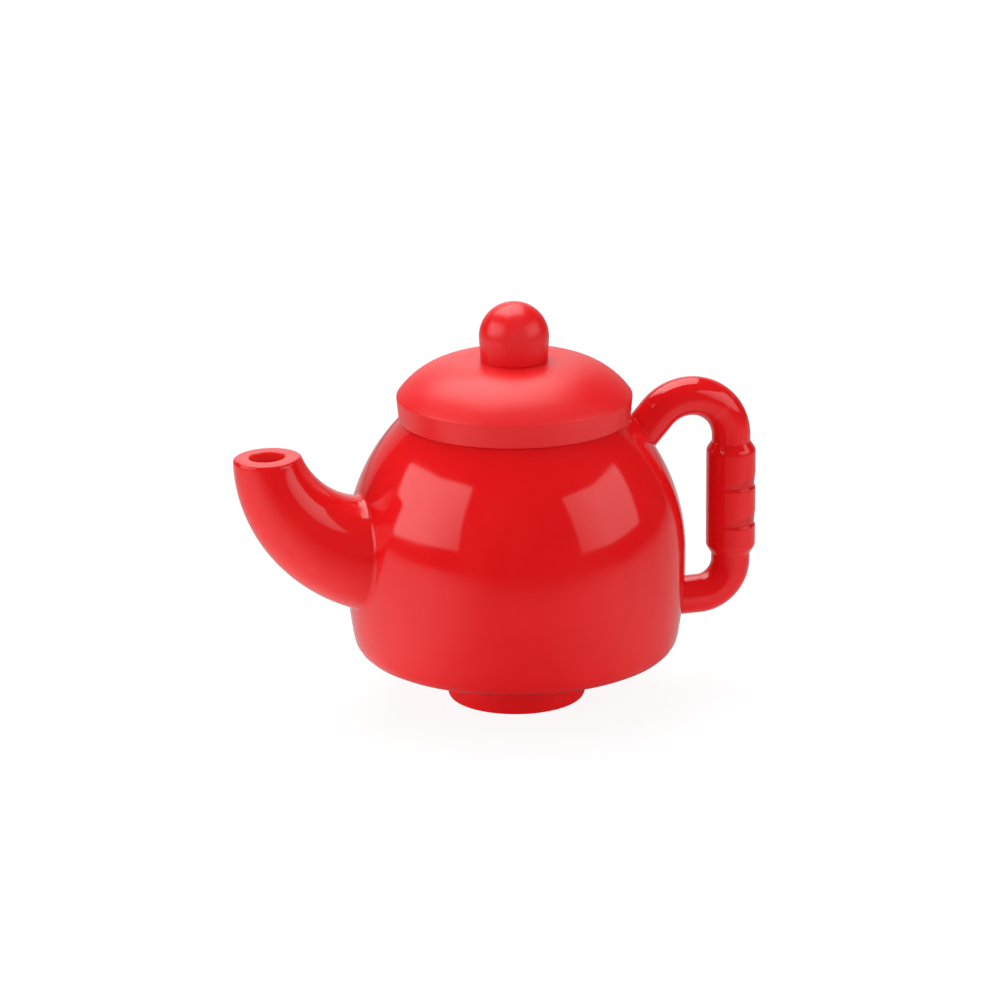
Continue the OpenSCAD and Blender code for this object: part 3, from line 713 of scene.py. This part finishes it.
# Liner: a disc in the same satin red, glued into the lid's underside, so that the lid is closed below.
# The ring under it drops into the pot's neck and keeps the lid in place.
plug_r, plug_inner_r, plug_low_z = 9.251 * mm, 8.051 * mm, 26.15 * mm
liner_outline = outline(
    [[(0, seat_z), (plug_inner_r, seat_z)],
     [(plug_inner_r, seat_z), (plug_inner_r, plug_low_z)],
     [(plug_inner_r, plug_low_z), (plug_r, plug_low_z)],
     [(plug_r, plug_low_z), (plug_r, seat_z)],
     [(plug_r, seat_z), (liner_r, seat_z)],
     [(liner_r, seat_z), (liner_r, liner_top_z)],
     [(liner_r, liner_top_z), (0, liner_top_z)]],
    [0.2 * mm, 0.3 * mm, 0.4 * mm, 0.05 * mm, 0.08 * mm, 0.05 * mm],
    pitch=0.6 * mm)
lid_plug = turned("lid_plug", liner_outline, satin_red, sides=128)
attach(lid_plug, "lid")
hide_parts("lid_liner")

# Knob: a solid ball on a short neck, moulded in the same satin red, and a little glossier from being held.
# Its stem passes through the cover and is headed over underneath.
knob_r, knob_foot_r, knob_z = 3.43 * mm, 3.3 * mm, 36.779 * mm
head_r, head_low_z = 2.4 * mm, 32.219 * mm
crown_under_z = crown_z - lid_wall
knob_red = moulded_red("held satin red", (0.74, 0.0030, 0.0060), (0.79, 0.0050, 0.0080), smooth=0.28, rough=0.33,
                       ripple=0.008 * mm, grain=0.0004 * mm, ring_lines=0.0)
knob_outline = outline(
    [arc((0, knob_z), knob_r, 90, 0),
     [(knob_r, knob_z), (knob_foot_r, crown_z)],
     [(knob_foot_r, crown_z), (stem_r, crown_z)],
     [(stem_r, crown_z), (stem_r, crown_under_z)],
     [(stem_r, crown_under_z), (head_r, crown_under_z)],
     [(head_r, crown_under_z), (head_r, head_low_z)],
     [(head_r, head_low_z), (0, head_low_z)]],
    [0, 0, 0.05 * mm, 0.05 * mm, 0.08 * mm, 0.25 * mm],
    pitch=0.3 * mm)
lid_ball = turned("lid_ball", knob_outline, knob_red, sides=128)
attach(lid_ball, "lid")
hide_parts("lid_knob")

# Studio: a white table in a white room, a curved backdrop that glows behind the pot, two window-shaped softboxes in
# front of it and one softbox overhead. The table keeps a faint shadow, but what the pot sees of it is painted light and
# shade. The room is dark in the gloss but fills in the shade softly.
middle_z = 20 * mm


def towards(azimuth, elevation, distance):
    """A point that far from the pot's middle. Azimuth 0 is in front, 90 on the handle's side."""
    a, e = math.radians(azimuth), math.radians(elevation)
    reach = distance * math.cos(e)
    return (reach * math.sin(a), -reach * math.cos(a), middle_z + distance * math.sin(e))


def softbox(name, rows, glows, finer=6):
    """A glowing panel through rows of points, with each one's brightness, woven finer between and along the rows."""
    given = np.concatenate([np.array(rows, float), np.array(glows, float)[..., None]], 2)
    for _ in ("between", "along"):
        count = len(given)
        stops = np.linspace(0, count - 1, (count - 1) * finer + 1)
        below = np.minimum(stops.astype(int), count - 2)
        share = (stops - below)[:, None, None]
        given = (given[below] * (1 - share) + given[below + 1] * share).swapaxes(0, 1)
    count, columns = given.shape[:2]
    faces = [(r * columns + c, r * columns + c + 1, (r + 1) * columns + c + 1, (r + 1) * columns + c)
             for r in range(count - 1) for c in range(columns - 1)]
    panel = new_piece(name, given[..., :3].reshape(-1, 3), faces)
    panel.data.attributes.new("glow", "FLOAT", "POINT").data.foreach_set("value", given[..., 3].ravel())
    material = bpy.data.materials.new(name)
    material.use_nodes = True
    tree = material.node_tree
    tree.nodes.clear()
    glow = add(tree, "ShaderNodeAttribute", attribute_name="glow").outputs["Fac"]
    light = add(tree, "ShaderNodeEmission", {"Strength": glow})
    add(tree, "ShaderNodeOutputMaterial", {"Surface": light.outputs["Emission"]})
    panel.data.materials.append(material)
    panel.visible_camera = False


lamp_distance = 1.2
for name, directions, glows in (
        ("left softbox", (((-108, 4), (-82, 7), (-55, 9)), ((-126, 29), (-90, 40), (-57, 45))),
         ((2.6, 2.4, 1.0), (2.5, 2.6, 2.1))),
        ("right softbox", (((29, 6), (52, 6), (80, 7)), ((25, 38), (55, 36), (88, 32))),
         ((0.7, 1.5, 1.3), (1.2, 1.9, 1.7)))):
    softbox(name, [[towards(azimuth, elevation, lamp_distance) for azimuth, elevation in row] for row in directions],
            glows)
overhead = Vector(towards(178, 66, lamp_distance))
facing = overhead.to_track_quat("Z", "Y").to_matrix()
half_width, half_height = lamp_distance * math.tan(math.radians(25)), lamp_distance * math.tan(math.radians(27))
far_edge, near_edge = (-1, 0.9, 1.5), (-1, 0.55, 0.9)
softbox("top softbox",
        [[overhead + facing @ Vector((across * half_width, along * half_height, 0)) for across in edge]
         for along, edge in ((-1, far_edge), (1, near_edge))],
        ((2.5, 4.0, 0.4), (3.2, 4.6, 3.0)))
backdrop_r, backdrop_h = 0.6, 0.42
backdrop = ((118, 0.15), (130, 0.2), (145, 0.4), (155, 0.7), (165, 1.0), (175, 0.9), (185, 0.55), (195, 0.4),
            (208, 0.25))
softbox("backdrop",
        [[(backdrop_r * math.sin(math.radians(azimuth)), -backdrop_r * math.cos(math.radians(azimuth)), z)
          for azimuth, glow in backdrop] for z in (0.0, backdrop_h)],
        [[glow for azimuth, glow in backdrop]] * 2)

table = new_piece("table", [(-0.4, -0.3, 0), (0.6, -0.3, 0), (0.6, 0.6, 0), (-0.4, 0.6, 0)], [(0, 1, 2, 3)])
table_white = bpy.data.materials.new("table white")
table_white.use_nodes = True
tree = table_white.node_tree
tree.nodes.clear()
rays = add(tree, "ShaderNodeLightPath").outputs
place = add(tree, "ShaderNodeTexCoord").outputs["Object"]
# The table's tone, which the camera never sees, is painted light and shade: it changes round the pot, with brighter
# pools at the sides, painted shade in front, and darker further out.
round_pot = add(tree, "ShaderNodeTexGradient", {"Vector": place}, gradient_type="RADIAL").outputs["Fac"]
painted_light_pools = add(tree, "ShaderNodeValToRGB", {"Fac": round_pot})
sides = ((0.0, 0.68), (0.06, 0.66), (0.11, 0.42), (0.15, 0.25), (0.19, 0.18), (0.25, 0.19), (0.29, 0.26),
         (0.33, 0.34), (0.38, 0.47), (0.43, 0.48), (0.48, 0.38), (0.56, 0.40), (0.75, 0.42), (0.92, 0.5), (1.0, 0.68))
stops = painted_light_pools.color_ramp.elements
for k, (turn, grey) in enumerate(sides):
    stop = stops[k] if k < 2 else stops.new(turn)
    stop.position, stop.color = turn, (grey, grey, grey, 1)
reach = add(tree, "ShaderNodeVectorMath", {0: place}, operation="LENGTH").outputs["Value"]
fade = add(tree, "ShaderNodeMapRange",
           {"Value": reach, "From Min": 0.08, "From Max": 0.32, "To Min": 1.0, "To Max": 0.4})
forward = add(tree, "ShaderNodeSeparateXYZ", {0: place}).outputs["Y"]
painted_front_shade = add(tree, "ShaderNodeMapRange",
                 {"Value": forward, "From Min": -0.05, "From Max": -0.16, "To Min": 1.0, "To Max": 0.35})
faded = add(tree, "ShaderNodeMath", {0: fade.outputs["Result"], 1: painted_front_shade.outputs["Result"]}, operation="MULTIPLY")
tone = add(tree, "ShaderNodeVectorMath", {0: painted_light_pools.outputs["Color"], "Scale": faded.outputs["Value"]},
           operation="SCALE")
card = add(tree, "ShaderNodeBsdfDiffuse", {"Color": tone.outputs["Vector"]})
bounce_light, seen_light, shadow_tone, dark_room = 0.68, 0.91, 0.1, 0.03
# Painted bounce light: the table also glows, for diffuse rays only, to fill the shade on the pot.
bounce = add(tree, "ShaderNodeMath", {0: rays["Is Diffuse Ray"], 1: bounce_light}, operation="MULTIPLY")
painted_bounce_glow = add(tree, "ShaderNodeEmission", {"Strength": bounce.outputs["Value"]})
lit_card = add(tree, "ShaderNodeAddShader", {0: card.outputs["BSDF"], 1: painted_bounce_glow.outputs["Emission"]})
shaded = add(tree, "ShaderNodeBsdfDiffuse", {"Color": (shadow_tone, shadow_tone, shadow_tone, 1)})
white = add(tree, "ShaderNodeEmission", {"Strength": seen_light})
seen_card = add(tree, "ShaderNodeAddShader", {0: shaded.outputs["BSDF"], 1: white.outputs["Emission"]})
choice = add(tree, "ShaderNodeMixShader", {0: rays["Is Camera Ray"], 1: lit_card.outputs["Shader"],
                                           2: seen_card.outputs["Shader"]})
beneath = add(tree, "ShaderNodeNewGeometry").outputs["Backfacing"]
clear = add(tree, "ShaderNodeBsdfTransparent")
one_sided = add(tree, "ShaderNodeMixShader", {0: beneath, 1: choice.outputs["Shader"], 2: clear.outputs["BSDF"]})
add(tree, "ShaderNodeOutputMaterial", {"Surface": one_sided.outputs["Shader"]})
table.data.materials.append(table_white)

world = bpy.data.worlds.new("room")
bpy.context.scene.world = world
world.use_nodes = True
tree = world.node_tree
tree.nodes.clear()
rays = add(tree, "ShaderNodeLightPath").outputs
way = add(tree, "ShaderNodeTexCoord").outputs["Generated"]
front_fill, least_fill = (0.15, -0.95, 0.0), 0.2
from_front = add(tree, "ShaderNodeVectorMath", {0: way, 1: front_fill}, operation="DOT_PRODUCT").outputs["Value"]
raised = add(tree, "ShaderNodeMath", {0: from_front, 1: least_fill}, operation="ADD").outputs["Value"]
fill = add(tree, "ShaderNodeMath", {0: raised, 1: least_fill}, operation="MAXIMUM").outputs["Value"]
shade = add(tree, "ShaderNodeMath", {0: fill, 1: rays["Is Diffuse Ray"]}, operation="MULTIPLY").outputs["Value"]
seen = add(tree, "ShaderNodeMath", {0: shade, 1: rays["Is Camera Ray"]}, operation="MAXIMUM").outputs["Value"]
strength = add(tree, "ShaderNodeMath", {0: seen, 1: dark_room}, operation="MAXIMUM").outputs["Value"]
room = add(tree, "ShaderNodeBackground", {"Color": (1, 1, 1, 1), "Strength": strength})
add(tree, "ShaderNodeOutputWorld", {"Surface": room.outputs["Background"]})
bpy.context.scene.view_settings.view_transform = "Standard"

# Camera: a long lens a little above the table, turned towards the spout's side, with the picture a trace off level.
camera_azimuth, camera_elevation, camera_distance, camera_roll = -16, 16.9, 0.45, -0.4286
camera_data = bpy.data.cameras.new("camera")
camera_data.sensor_width, camera_data.lens = 36, 164.43
camera_data.shift_x, camera_data.shift_y = -0.0152, 0.0008
camera_data.clip_start, camera_data.clip_end = 0.01, 20
camera = bpy.data.objects.new("camera", camera_data)
bpy.context.scene.collection.objects.link(camera)
camera.location = towards(camera_azimuth, camera_elevation, camera_distance)
aim = (Vector((0, 0, middle_z)) - camera.location).to_track_quat("-Z", "Y").to_matrix().to_4x4()
roll = Matrix.Rotation(math.radians(camera_roll), 4, "Z")
camera.matrix_world = Matrix.Translation(camera.location) @ aim @ roll
bpy.context.scene.camera = camera
